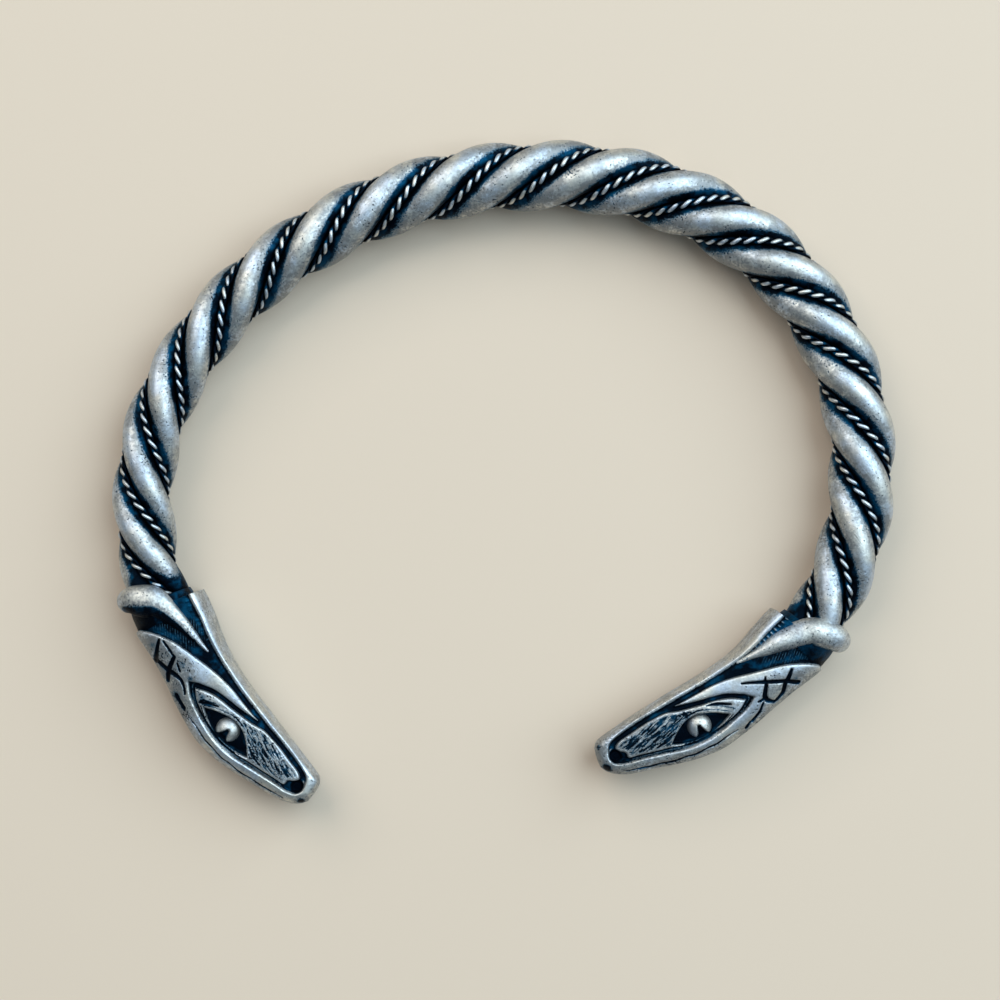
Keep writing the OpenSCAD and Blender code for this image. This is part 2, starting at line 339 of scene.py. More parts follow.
class Shell:
    """Gathers the closed skins that make one piece, with a value of each surface attribute per point."""

    def __init__(self):
        self.points, self.faces, self.values = [], [], {}

    def add(self, rows, **values):
        """Adds a skin over rows of points (rows, columns, 3), closed by a flat face at both ends."""
        count, columns = rows.shape[:2]
        start = sum(len(p) for p in self.points)
        self.points.append(rows.reshape(-1, 3))
        self.faces += grid_faces(count, columns, start)
        self.faces.append([start + j for j in range(columns - 1, -1, -1)])
        self.faces.append([start + (count - 1) * columns + j for j in range(columns)])
        for name, value in values.items():
            self.values.setdefault(name, []).append(np.broadcast_to(value, (count, columns)).ravel())

    def build(self, name, material):
        """Makes the object, with its normals outwards and its faces shaded smooth."""
        points = np.vstack(self.points)
        mesh = bpy.data.meshes.new(name)
        mesh.from_pydata(points.tolist(), [], self.faces)
        for key, parts in self.values.items():
            layer = mesh.attributes.new(key, "FLOAT", "POINT")
            layer.data.foreach_set("value", np.concatenate(parts).astype(np.float32))
        work = bmesh.new()
        work.from_mesh(mesh)
        bmesh.ops.recalc_face_normals(work, faces=work.faces)
        work.to_mesh(mesh)
        work.free()
        mesh.shade_smooth()
        mesh.materials.append(material)
        return put_in_scene(name, mesh)


def put_in_scene(name, data):
    """Makes an object of a mesh, lamp or camera and links it to the scene."""
    made = bpy.data.objects.new(name, data)
    bpy.context.scene.collection.objects.link(made)
    return made


def settle(piece, node):
    """Lets a piece ride on the ring and stand for a solid of the frame."""
    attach(piece, "root")
    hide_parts(node)


def strand_angle(sizes, s, turn):
    return np.radians(360 * (s - TWIST_START) / (sizes.twist_pitch / MM) + turn)


def strand_middle(sizes, s, place, turn):
    """Middle of a rod or rope that lies place times the crest radius from the middle of the bar."""
    angle = strand_angle(sizes, s, turn)
    reach = place * crest_radius(s)
    return ring_point(s, reach * np.sin(angle), reach * np.cos(angle))


def strand_frame(sizes, s, place, turn):
    """Middle, way out from the bar and way across, at each place s of a rod or rope."""
    angle = strand_angle(sizes, s, turn)
    out = unit(ring_point(s, np.sin(angle), np.cos(angle)) - ring_point(s, 0, 0))
    ahead = strand_middle(sizes, s + 0.05, place, turn) - strand_middle(sizes, s - 0.05, place, turn)
    return strand_middle(sizes, s, place, turn), out, np.cross(unit(ahead), out)


def strand_ends(share):
    """First and last place of a strand, clear of the pocket floors. A thick strand needs more room."""
    first = POCKET_FLOOR + 0.05 + 1.6 * share
    return first, RING_LENGTH - first


def near_heads(s):
    """1 where the bar comes out of a neck, falling to 0 further along, and less soon at the left head."""
    at_left = 1 - blend(0.9, 3.2, s - NECK_END)
    at_right = 1 - blend(0.2, 1.5, RING_LENGTH - s - NECK_END)
    return np.maximum(at_left, at_right)


def rod_rows(sizes, turn):
    """Places along a rod, its points, and how far out each lies as a share of the crest radius.

    The share is lowered on the side towards the wrist, most of all in the far arc: a painted shade.
    """
    s = np.linspace(*strand_ends(sizes.rod_share), sizes.rod_rings)
    middle, out, across = strand_frame(sizes, s, 1 - sizes.rod_share, turn)
    wave = np.sin(s * 0.9 + turn) + np.sin(s * 0.37 + 2 * turn) + np.sin(s * 2.3 + turn)
    radius = sizes.rod_share * crest_radius(s) * (1 + sizes.unevenness * wave / 3)
    ways = round_ways(sizes.rod_sides, out, across)
    rows = middle[:, None, :] + MM * radius[:, None, None] * ways
    from_axis = np.linalg.norm(rows - ring_point(s, 0, 0)[:, None, :], axis=-1)
    reach = from_axis / (MM * crest_radius(s)[:, None])
    # Painted shade: the side of a rod towards the wrist is darkened, most of all in the far arc
    inward = unit(ring_point(s, -1, 0) - ring_point(s, 0, 0))
    inner = np.einsum("ijk,ik->ij", ways, inward)
    painted_shade = 0.055 * blend(0.05, 0.85, inner) + 0.03 * blend(0.75, 1, inner)
    far_arc = blend(0.2, 0.4, s / RING_LENGTH) * (1 - blend(0.6, 0.8, s / RING_LENGTH))
    return s, rows, reach - painted_shade * (0.25 + 0.75 * far_arc[:, None])


def rope_rows(sizes, turn, side_turn):
    """Places along a wire of a rope, its points, and their height over the middle of the rope."""
    s = np.linspace(*strand_ends(sizes.rope_share), sizes.rope_rings)
    middle, out, across = strand_frame(sizes, s, sizes.rope_place, turn)
    length = np.concatenate([[0], np.cumsum(np.linalg.norm(np.diff(middle, axis=0), axis=1))])
    lay = 2 * np.pi * length / sizes.wire_pitch + side_turn
    radius = MM * sizes.rope_share * crest_radius(s) / 2
    wire = middle + radius[:, None] * (np.cos(lay)[:, None] * out - np.sin(lay)[:, None] * across)
    ahead = unit(np.gradient(wire, axis=0))
    side = unit(np.cross(ahead, out))
    up = np.cross(side, ahead)
    rows = wire[:, None, :] + radius[:, None, None] * round_ways(sizes.rope_sides, up, side)
    height = np.einsum("ijk,ik->ij", rows - middle[:, None, :], out) / (2 * radius[:, None])
    return s, rows, height


# Heads

def smooth_lookup(t, table):
    """Each column of a table after the first, read at t without the overshoot of a plain spline."""
    x, y = table[:, 0], table[:, 1:]
    step = np.diff(x)[:, None]
    slope = np.diff(y, axis=0) / step
    tangent = np.zeros_like(y)
    same = slope[1:] * slope[:-1] > 0
    total = np.where(same, slope[1:] + slope[:-1], 1)
    tangent[1:-1] = np.where(same, 2 * slope[1:] * slope[:-1] / total, 0)
    tangent[0], tangent[-1] = slope[0], slope[-1]
    i = np.clip(np.searchsorted(x, t, side="right") - 1, 0, len(x) - 2)
    h = step[i]
    u = (t[:, None] - x[i][:, None]) / h
    return ((1 + 2 * u) * (1 - u) ** 2 * y[i] + u * (1 - u) ** 2 * h * tangent[i]
            + u**2 * (3 - 2 * u) * y[i + 1] + u**2 * (u - 1) * h * tangent[i + 1]).T


def head_half(t, columns):
    """Upper half of a head's skin, from the crown side to the inner side: v, z and the way out."""
    inner, crown, height = smooth_lookup(t, HEAD_SECTIONS)
    middle = inner + SECTION_MIDDLE * (crown - inner)
    angle = np.linspace(0, np.pi, 721)
    cos, sin = np.cos(angle), np.sin(angle)
    square = np.where(cos > 0, CROWN_SQUARENESS, INNER_SQUARENESS)
    v, z = np.empty((len(t), columns)), np.empty((len(t), columns))
    for row in range(len(t)):
        half = np.where(cos > 0, crown[row] - middle[row], middle[row] - inner[row])
        reach = (np.abs(cos / half) ** square + np.abs(sin / height[row]) ** square) ** (-1 / square)
        x, y = middle[row] + reach * cos, reach * sin
        dx, dy = np.abs(np.diff(x)), np.abs(np.diff(y))
        length = np.concatenate([[0], np.cumsum(dx + 0.4 * dy)])
        even = np.linspace(0, length[-1], columns)
        v[row], z[row] = np.interp(even, length, x), np.interp(even, length, y)
    dv, dz = np.gradient(v, axis=1), np.gradient(z, axis=1)
    size = np.hypot(dv, dz)
    return v, z, dz / size, -dv / size


def head_marks(side, sizes, t, v):
    """Where the parts of a head's relief lie, as distances in millimetres or as shares from 0 to 1."""
    ground_line = np.vstack([*map(flowing, (RAIL_EDGE, RIM_EDGE, BROW_EDGE, CROWN_EDGE)), GROUND_END])
    almond_line = np.vstack([flowing(ALMOND_TOP), flowing(ALMOND_BASE)])
    edge = sizes.edge_width / MM
    ground = depth_inside(ground_line, t, v)
    panel = depth_inside(flowing(PANEL_EDGE), t, v)
    almond = depth_inside(almond_line, t, v)
    raised = blend(-edge, edge, panel) * (1 - blend(-edge, edge, almond))
    sunk = blend(-edge, edge, ground) * (1 - raised)
    from_nostril = np.hypot((t - NOSTRIL[0]) / NOSTRIL[2], (v - NOSTRIL[1]) / NOSTRIL[3])
    groove = np.zeros_like(t)
    scale_lines = [np.array(line) * (1, 1, STROKE_WIDTH[side]) for line in SCALE_LINES[side]]
    for line in scale_lines + SHARED_LINES:
        groove = np.maximum(groove, line_cover(flowing(line), t, v))
    beside = distance_to(flowing(LADDER_LINE), t, v)
    rungs = (1 - blend(0.15, 0.38, beside)) * blend(0, 0.7, np.cos(2 * np.pi * t / RUNG_STEP)) * sunk
    return SimpleNamespace(
        ground=ground, panel=panel, almond=almond, raised=raised, sunk=sunk,
        socket=blend(-edge, edge, almond), from_nostril=from_nostril,
        nostril=1 - blend(0.7, 1.15, from_nostril), groove=groove * (1 - sunk),
        rungs=rungs * RUNG_SHARE[side], panel_edge=np.exp(-np.abs(panel) / 0.25) * raised)


def plate_rim(marks, width):
    """1 at the edge of the plates round the ground, falling off over a width in millimetres."""
    return np.exp(-np.abs(marks.ground) / width) * (1 - marks.sunk) * (marks.ground < 0)


def head_depth(sizes, marks):
    """Depth below the skin of a head, in millimetres."""
    relief = sizes.relief / MM
    depth = relief * marks.sunk + 0.25 * relief * marks.socket
    depth += 0.35 * marks.nostril
    # Plates and panel are a little round towards their edges
    depth += 0.1 * plate_rim(marks, 0.3) + 0.1 * marks.panel_edge
    depth += sizes.line_depth / MM * marks.groove
    depth -= sizes.rung_height / MM * marks.rungs
    return depth


def plate_wear(side, t, v, facing, marks, inside):
    """How far the plates and the panel are rubbed, before the recesses are taken out."""
    on_top = blend(0.2, 0.75, facing)
    wear = 0.78 + 0.26 * on_top + 0.45 * plate_rim(marks, 0.7) + 0.45 * marks.panel_edge
    wear -= PANEL_TARNISH[side] * inside * (1 - 0.75 * blend(9.5, 12.5, t))
    wear -= SNOUT_TARNISH[side] * (1 - blend(7, 14, t)) * (1 - inside) * (0.35 + 0.65 * on_top)
    crown = np.interp(t, HEAD_SECTIONS[:, 0], HEAD_SECTIONS[:, 2])
    wear -= 0.14 * blend(0.75, 0.95, v / crown) * blend(12.5, 14, t) + 0.08 * (1 - blend(0.1, 1.2, t))
    wear -= CROWN_TARNISH[side] * blend(12.5, 14.5, t) * blend(-0.6, 0.6, v) * on_top
    for place, out, width, strength in GRIME[side]:
        spot = np.exp(-((t - place) ** 2 + (v - out) ** 2) / width**2)
        wear -= strength * on_top * blend(0, 0.4, t) * spot
    lids = np.exp(-((marks.almond + 0.36) / 0.07) ** 2) + np.exp(-((marks.almond + 0.75) / 0.07) ** 2)
    wear -= 0.62 * lids * inside * blend(8.8, 10.5, t) * (1 - blend(0.6, 1.4, v))
    return wear


def head_fields(side, t, v, facing, marks):
    """The surface attributes of a head by name.

    Facing is 1 where the skin faces straight up or down, and 0 on the sides.
    """
    inside = marks.raised * blend(0.1, 0.45, marks.panel)
    wear = plate_wear(side, t, v, facing, marks, inside)
    # A fine ridge runs in the groove on the crown side of the panel, and a painted highlight lies on the
    # nostril's lip
    ridge = np.exp(-((marks.panel + 0.36) / 0.09) ** 2) * blend(0.2, 0.6, v) * blend(2.2, 3.4, t)
    painted_glint = np.exp(-((marks.from_nostril - 1.2) / 0.16) ** 2) * blend(-0.2, 0.3, NOSTRIL[0] - t)
    wear = wear * (1 - marks.sunk) * (1 - marks.nostril) + 0.5 * marks.rungs
    wear += (0.45 * ridge + 0.62 * painted_glint) * marks.sunk
    wear -= 1.5 * marks.groove + 0.8 * marks.nostril + 0.8 * blend(0, 0.5, marks.almond)
    under_lobe = blend(-3.0, -2.0, v - 0.9 * (t - 22))
    comb = marks.sunk * blend(18.6, 20.2, t) * blend(-0.05, 0.25, marks.ground) * under_lobe
    hatch = inside * blend(0.1, 0.4, -marks.almond) * (1 - 0.75 * blend(10.5, 12.5, t))
    # Painted sheen: a blue reflection on the ground, most towards the neck; near the walls and under the
    # lobe it is taken away as painted shade
    sheen = (0.2 + 0.8 * blend(14, 20, t)) * blend(0.05, 0.5, marks.ground) * (1 - marks.raised)
    sheen *= 1 - under_lobe * blend(16, 18, t) * blend(0.15, 1.1, marks.ground)
    return {"wear": wear, "hatch": hatch, "comb": comb * (1 - marks.rungs), "sheen": sheen,
            "plan_t": t, "plan_v": v}


def both_halves(upper, sign=1):
    """Rows that go once round the head, from rows over its upper half."""
    return np.hstack([upper, sign * upper[:, -2:0:-1]])


def add_head_skin(shell, side, sizes):
    """The main skin of a head, with the recesses and engraved lines, and its hollow back."""
    t = np.linspace(0, HEAD_SECTIONS[-1, 0], sizes.rows)
    v, z, out_v, out_z = head_half(t, sizes.columns)
    plan = np.broadcast_to(t[:, None], v.shape)
    marks = head_marks(side, sizes, plan, v)
    depth = head_depth(sizes, marks)
    fields = head_fields(side, plan, v, np.abs(out_z), marks)
    sunk_v, sunk_z = v - depth * out_v, z - depth * out_z
    sunk_z[:, 0] = sunk_z[:, -1] = 0
    skin_v, skin_z = both_halves(sunk_v), both_halves(sunk_z, -1)
    front = [(t[0] - SNOUT_BULGE * (1 - step), step * skin_v[0], step * skin_z[0]) for step in SNOUT_STEPS]
    # The back narrows to the mouth of the pocket
    share = POCKET_RADIUS / np.hypot(skin_v[-1], skin_z[-1])
    back = [(place, share * skin_v[-1], share * skin_z[-1]) for place in (t[-1], POCKET_FLOOR)]
    skin = [*front, *zip(t, skin_v, skin_z), *back]
    repeats = np.array([1 + len(front)] + [1] * (sizes.rows - 2) + [1 + len(back)])
    values = {name: np.repeat(both_halves(field), repeats, axis=0) for name, field in fields.items()}
    shell.add(np.array([head_point(side, *row) for row in skin]), **values)


def add_neck(shell, side):
    """Sleeve round the end of the bar, with a lip that tapers."""
    around = angles(NECK_SIDES)
    profile = [
        (POCKET_FLOOR, NECK_RADIUS), (NECK_END - 0.9, NECK_RADIUS), (NECK_END - 0.5, NECK_RADIUS - 0.04),
        (NECK_END - 0.1, NECK_RADIUS - 0.14), (NECK_END, POCKET_RADIUS + 0.04),
        (NECK_END - 0.15, POCKET_RADIUS), (POCKET_FLOOR, POCKET_RADIUS)]
    rows = np.array([head_point(side, t, r * np.cos(around), r * np.sin(around)) for t, r in profile])
    # Painted sheen on the sleeve, with painted shade on the crown side under the lobe
    sheen = 0.9 - NECK_PAINTED_SHADE[side] * blend(-0.3, 0.5, np.cos(around))
    shell.add(rows, wear=-0.05, sheen=sheen, **PLAIN)


def lobe_spread(side, along, to_snout):
    """How far sideways each point of a lobe is moved out of the round, as a share of its radius."""
    snout_share, rail_share = LOBE_SPREAD[side]
    on_snout_flank = snout_share * blend(0.1, 0.35, along) * (1 - 0.8 * blend(0.5, 0.8, along))
    on_rail_flank = rail_share * blend(0.36, 0.62, along) * (1 - 0.5 * blend(0.75, 1, along))
    return on_snout_flank * np.maximum(to_snout, 0) + on_rail_flank * np.minimum(to_snout, 0)


def add_lobe(shell, side):
    """The smooth collar lobe: a band over the crown side of the neck, drawn to a point on each face."""
    beads = np.array(LOBE_BEADS + LOBE_POINTS[side])
    path = flowing(np.vstack([beads[:0:-1] * (1, 1, -1, 1), beads]), 12)
    middle = head_point(side, *path[:, :3].T)
    radius = MM * path[:, 3]
    ahead = unit(np.gradient(middle, axis=0))
    away = unit(middle - head_point(side, path[:, 0] - 1, 0, 0))
    across = unit(np.cross(ahead, away))
    up = np.cross(across, ahead)
    ways = round_ways(LOBE_SIDES, up, across)
    half = len(path) // 2
    forward = head_point(side, path[half, 0] - 1, path[half, 1], path[half, 2]) - middle[half]
    snout_sign = np.sign(across[half] @ forward)
    to_snout = snout_sign * np.sin(angles(LOBE_SIDES))
    # 0 at the middle of the lobe and 1 at both ends
    along = np.abs(np.linspace(-1, 1, len(path)))[:, None]
    spread = lobe_spread(side, along, to_snout)
    sideways = snout_sign * across[:, None, :]
    rows = middle[:, None, :] + radius[:, None, None] * (ways + spread[:, :, None] * sideways)
    # Three smaller rings round off each end
    caps = []
    for end, way in ((0, -1), (-1, 1)):
        for tilt in np.radians((35, 65, 85)):
            caps.append(middle[end] + way * radius[end] * np.sin(tilt) * ahead[end]
                        + radius[end] * np.cos(tilt) * ways[end])
    rows = np.concatenate([caps[2::-1], rows, caps[3:]])
    # Painted shade: the flank towards the snout is darkened
    along = np.abs(np.linspace(-1, 1, len(rows)))[:, None]
    shade_begins = LOBE_SHADE[side] + 0.5 * (1 - blend(0.06, 0.2, along)) + 0.5 * blend(0.45, 0.95, along)
    wear = 1.05 - 1.45 * blend(shade_begins, shade_begins + 0.85, np.broadcast_to(to_snout, rows.shape[:2]))
    shell.add(rows, wear=wear, sheen=0.1, **PLAIN)


def add_eyes(shell, side, sizes):
    """An eye ball on each face, with a wedge cut in from its crown side."""
    place, out = EYE_PLACE
    height = np.interp(place, HEAD_SECTIONS[:, 0], HEAD_SECTIONS[:, 3])
    radius = sizes.eye_radius / MM
    tilt = np.radians(np.linspace(2, 178, EYE_ROWS))[:, None]
    around = angles(EYE_SIDES)[None, :]
    u, w, h = np.sin(tilt) * np.cos(around), np.sin(tilt) * np.sin(around), np.cos(tilt) + 0 * around
    half = np.maximum(0.16 + 0.42 * w, 0.01)
    wedge = (1 - blend(0.6, 1.15, np.abs(u + 0.1) / half)) * blend(-0.2, 0.05, w) * (h > 0)
    reach = radius * (1 - 0.35 * wedge)
    middle = height + sizes.eye_rise / MM - radius
    wear = 1.2 * blend(-0.1, 0.45, h) * (1 - wedge)
    for face in (1, -1):
        rows = head_point(side, place + reach * u, out + reach * w, face * (middle + reach * h))
        shell.add(rows, wear=wear, sheen=0, **PLAIN)


# Shader helpers and node groups

def add_node(tree, kind, inputs=(), **settings):
    """Adds a node. Each input is a plain value, or the output of another node to link."""
    made = tree.nodes.new(kind)
    for name, value in settings.items():
        setattr(made, name, value)
    for name, value in dict(inputs).items():
        if isinstance(value, bpy.types.NodeSocket):
            tree.links.new(value, made.inputs[name])
        else:
            made.inputs[name].default_value = value
    return made


def calc(tree, operation, a, b=0.0, c=0.0, clamp=False):
    made = add_node(tree, "ShaderNodeMath", {0: a, 1: b, 2: c}, operation=operation, use_clamp=clamp)
    return made.outputs[0]


def times(tree, a, b):
    return calc(tree, "MULTIPLY", a, b)


def minus(tree, a, b):
    return calc(tree, "SUBTRACT", a, b)


def ramp(tree, value, low, high):
    """A smooth step of a value from 0 at low to 1 at high."""
    inputs = {"Value": value, "From Min": low, "From Max": high}
    made = add_node(tree, "ShaderNodeMapRange", inputs, interpolation_type="SMOOTHSTEP")
    return made.outputs["Result"]


def mix_colour(tree, share, a, b):
    return add_node(tree, "ShaderNodeMix", {0: share, 6: a, 7: b}, data_type="RGBA").outputs[2]


def noise(tree, place, scale, detail=3.0, rough=0.55):
    inputs = {"Vector": place, "Scale": scale, "Detail": detail, "Roughness": rough}
    return add_node(tree, "ShaderNodeTexNoise", inputs).outputs["Fac"]


def stretched(tree, place, turn, scale):
    """Coordinates turned about Z and drawn out, so that noise on them makes strokes."""
    inputs = {"Vector": place, "Rotation": (0.0, 0.0, turn), "Scale": scale}
    return add_node(tree, "ShaderNodeMapping", inputs, vector_type="TEXTURE").outputs["Vector"]


def new_group(name, inputs, outputs):
    """An empty shader node group, and its named float inputs and outputs as its nodes see them."""
    group = bpy.data.node_groups.new(name, "ShaderNodeTree")
    for key, default in inputs.items():
        socket = group.interface.new_socket(name=key, in_out="INPUT", socket_type="NodeSocketFloat")
        socket.default_value = default
    for key in outputs:
        group.interface.new_socket(name=key, in_out="OUTPUT", socket_type="NodeSocketFloat")
    return group, group.nodes.new("NodeGroupInput").outputs, group.nodes.new("NodeGroupOutput").inputs


def worn_edges_group():
    """Where the dark patina is rubbed off: Polish is 1 on bare silver, with a ragged edge and dark pits."""
    inputs = {"Wear": 1.0, "Ragged": 0.5, "Pits": 0.5, "Softness": 0.1}
    group, given, out = new_group("worn_edges", inputs, ("Polish", "Pit"))
    place = add_node(group, "ShaderNodeTexCoord").outputs["Object"]
    coarse = minus(group, noise(group, place, RAGGED_SCALE), 0.5)
    fine = minus(group, noise(group, place, FRAYED_SCALE, 2.0), 0.5)
    both = calc(group, "MULTIPLY_ADD", coarse, 0.6, fine)
    shifted = calc(group, "MULTIPLY_ADD", both, given["Ragged"], given["Wear"])
    low = minus(group, 0.5, given["Softness"])
    high = calc(group, "ADD", 0.5, given["Softness"])
    bare = ramp(group, shifted, low, high)
    specks = noise(group, place, PIT_SCALE, 1.0)
    fields = minus(group, noise(group, place, PIT_FIELD_SCALE, 2.0), 0.3)
    depth = minus(group, 1.5, given["Wear"])
    chance = times(group, times(group, fields, depth), given["Pits"])
    pit = ramp(group, calc(group, "ADD", specks, times(group, chance, 0.6)), 0.71, 0.78)
    polish = calc(group, "MULTIPLY", bare, minus(group, 1.0, pit), clamp=True)
    group.links.new(polish, out["Polish"])
    group.links.new(pit, out["Pit"])
    return group


def tarnish_group():
    """Tone of bare silver: 1 where it is rubbed clean, lower in clouds and specks of tarnish."""
    inputs = {"Wear": 1.0, "Clouds": 0.5, "Specks": 0.4}
    group, given, out = new_group("tarnish", inputs, ("Tone",))
    place = add_node(group, "ShaderNodeTexCoord").outputs["Object"]
    cloudy = noise(group, place, CLOUD_SCALE, 4.0, 0.6)
    clouds = minus(group, 1.0, ramp(group, cloudy, 0.36, 0.62))
    speckled = noise(group, place, SPECK_SCALE, 3.0, 0.6)
    specks = minus(group, 1.0, ramp(group, speckled, 0.38, 0.62))
    clean = ramp(group, given["Wear"], 0.55, 1.25)
    loss = calc(group, "ADD", times(group, clouds, given["Clouds"]), times(group, specks, given["Specks"]))
    dull = times(group, loss, minus(group, 1.35, clean))
    brightest = calc(group, "ADD", times(group, clean, 0.3), 0.7)
    tone = calc(group, "SUBTRACT", brightest, dull, clamp=True)
    group.links.new(tone, out["Tone"])
    return group


def cast_grain_group():
    """Height of the cast surface: fine grain, shallow dents and thin scratches."""
    group, given, out = new_group("cast_grain", {"Grain": 0.5, "Dents": 0.5, "Scratches": 0.3}, ("Height",))
    place = add_node(group, "ShaderNodeTexCoord").outputs["Object"]
    grain = times(group, noise(group, place, GRAIN_SCALE, 2.0), given["Grain"])
    dents = times(group, noise(group, place, DENT_SCALE, 2.0), given["Dents"])
    total = calc(group, "ADD", grain, dents)
    for turn, squeeze in SCRATCH_SETS:
        turned = stretched(group, place, turn, (1.0, 1 / squeeze, 1 / squeeze))
        streaks = ramp(group, noise(group, turned, SCRATCH_SCALE, 1.0), 0.62, 0.7)
        total = minus(group, total, times(group, streaks, given["Scratches"]))
    group.links.new(total, out["Height"])
    return group


def place_group(tree, build, **inputs):
    """Puts a shared group into a material, with the group's own inputs set or linked."""
    name = build.__name__.removesuffix("_group")
    group = bpy.data.node_groups.get(name) or build()
    return add_node(tree, "ShaderNodeGroup", inputs, node_tree=group).outputs


def surface_value(tree, name):
    return add_node(tree, "ShaderNodeAttribute", attribute_name=name).outputs["Fac"]


def aged_silver(name, look, ragged, pits, softness, clouds, specks, grain, dents, engraved=False):
    """Cast silver, dark with patina where it lies deep and worn bright where it stands up."""
    material = bpy.data.materials.new(name)
    material.use_nodes = True
    tree = material.node_tree
    tree.nodes.clear()
    stands = surface_value(tree, "wear")
    height = place_group(tree, cast_grain_group, Grain=grain, Dents=dents)["Height"]
    lines = 0.0
    if engraved:
        stands, height, lines = engrave(tree, stands, height)
    worn = place_group(tree, worn_edges_group, Wear=stands, Ragged=ragged, Pits=pits, Softness=softness)
    tone = place_group(tree, tarnish_group, Wear=stands, Clouds=clouds, Specks=specks)["Tone"]
    place = add_node(tree, "ShaderNodeTexCoord").outputs["Object"]
    tint = ramp(tree, noise(tree, place, TINT_SCALE, 2.0), 0.38, 0.62)
    clean = mix_colour(tree, tint, (*look.silver, 1), (*look.warm_silver, 1))
    silver = mix_colour(tree, tone, (*look.tarnish, 1), clean)
    # Painted sheen: blue clouds of reflection in the patina, most where the sheen attribute is high, fading
    # out in the deepest recesses as painted shade
    cloud = noise(tree, place, CLOUD_SCALE, 4.0)
    cloud = calc(tree, "MULTIPLY_ADD", surface_value(tree, "sheen"), 0.22, cloud)
    painted_sheen = times(tree, ramp(tree, cloud, 0.5, 0.74), ramp(tree, stands, -0.7, 0.3))
    deep = mix_colour(tree, painted_sheen, (*look.patina, 1), (*look.patina_sheen, 1))
    # Thin patina at the edge of the bare silver and on the fine lines, blue as a painted reflection
    thin = calc(tree, "MAXIMUM", ramp(tree, worn["Polish"], 0.0, 0.35), lines)
    colour = mix_colour(tree, thin, deep, (*look.thin_patina, 1))
    colour = mix_colour(tree, ramp(tree, worn["Polish"], 0.15, 0.85), colour, silver)
    rubbed = calc(tree, "MULTIPLY_ADD", tone, -0.12, look.roughness + 0.12)
    mixed = add_node(tree, "ShaderNodeMix", {0: worn["Polish"], 2: look.patina_roughness, 3: rubbed})
    height = minus(tree, height, times(tree, worn["Pit"], 0.8))
    bump = add_node(tree, "ShaderNodeBump", {"Height": height, "Strength": 1.0, "Distance": look.bump})
    shader = add_node(tree, "ShaderNodeBsdfPrincipled", {
        "Base Color": colour, "Metallic": 1.0, "Roughness": mixed.outputs[0],
        "Normal": bump.outputs["Normal"]})
    output = add_node(tree, "ShaderNodeOutputMaterial")
    tree.links.new(shader.outputs["BSDF"], output.inputs["Surface"])
    return material


def engrave(tree, stands, height):
    """Cuts slanting strokes on the snout and raises fine lines in the neck groove.

    Returns how worn and how high each place is, and where the fine lines lie.
    """
    hatch, comb = surface_value(tree, "hatch"), surface_value(tree, "comb")
    along, out = surface_value(tree, "plan_t"), surface_value(tree, "plan_v")
    plan = add_node(tree, "ShaderNodeCombineXYZ", {"X": along, "Y": out}).outputs["Vector"]
    turned = stretched(tree, plan, -0.3, (1.8, 0.3, 1.0))
    strokes = ramp(tree, noise(tree, turned, 1.3, 3.0, 0.6), 0.36, 0.64)
    cut = times(tree, minus(tree, 1.0, strokes), hatch)
    slant = calc(tree, "MULTIPLY_ADD", along, 0.5, out)
    teeth = calc(tree, "SINE", times(tree, slant, 2 * np.pi / 0.3))
    lines = times(tree, ramp(tree, teeth, 0.3, 0.9), comb)
    broken = ramp(tree, noise(tree, plan, 1.8, 2.0), 0.42, 0.6)
    lines = times(tree, lines, broken)
    stands = minus(tree, stands, times(tree, cut, 0.52))
    height = minus(tree, height, times(tree, cut, 1.2))
    return stands, calc(tree, "ADD", height, lines), times(tree, lines, 0.7)


# Properties

class RingSizes(PropertyGroup):
    """Sizes of the twisted bar and of the wire ropes."""

    twist_pitch: FloatProperty(
        name="Twist pitch", description="Length of one turn of the twist", default=0.0218, unit="LENGTH")
    rod_share: FloatProperty(
        name="Rod share", description="Radius of a rod over that of the crests", default=0.447,
        subtype="FACTOR")
    rope_share: FloatProperty(
        name="Rope share", description="Radius of a rope over that of the crests", default=0.124,
        subtype="FACTOR")
    rope_place: FloatProperty(
        name="Rope place", description="How far out a rope lies, over the crest radius",
        default=0.74, subtype="FACTOR")
    wire_pitch: FloatProperty(
        name="Wire pitch", description="Length of one turn of a rope's two wires", default=0.00264,
        unit="LENGTH")
    unevenness: FloatProperty(
        name="Unevenness", description="How much a rod's thickness wavers", default=0.012, subtype="FACTOR")
    rod_rings: IntProperty(name="Rod rings", description="Rings of points along a rod", default=620)
    rod_sides: IntProperty(name="Rod sides", description="Points round a rod", default=48)
    rope_rings: IntProperty(name="Rope rings", description="Rings of points along a wire", default=1100)
    rope_sides: IntProperty(name="Rope sides", description="Points round a wire", default=10)


class HeadSizes(PropertyGroup):
    """Sizes of the relief on the heads."""

    relief: FloatProperty(
        name="Relief", description="Depth of the channels below the plates", default=0.0006, unit="LENGTH")
    edge_width: FloatProperty(
        name="Edge width", description="Half the width of a plate edge's slope",
        default=0.00012, unit="LENGTH")
    line_depth: FloatProperty(
        name="Line depth", description="Depth of the engraved lines", default=0.00022, unit="LENGTH")
    rung_height: FloatProperty(
        name="Rung height", description="Height of the rungs beside the lobe",
        default=0.00012, unit="LENGTH")
    eye_radius: FloatProperty(
        name="Eye radius", description="Radius of the eye ball", default=0.00126, unit="LENGTH")
    eye_rise: FloatProperty(
        name="Eye rise", description="Height of the eye over the panel", default=0.00015, unit="LENGTH")
    rows: IntProperty(name="Rows", description="Rows of points along a head", default=300)
    columns: IntProperty(name="Columns", description="Points over one half of a head", default=130)


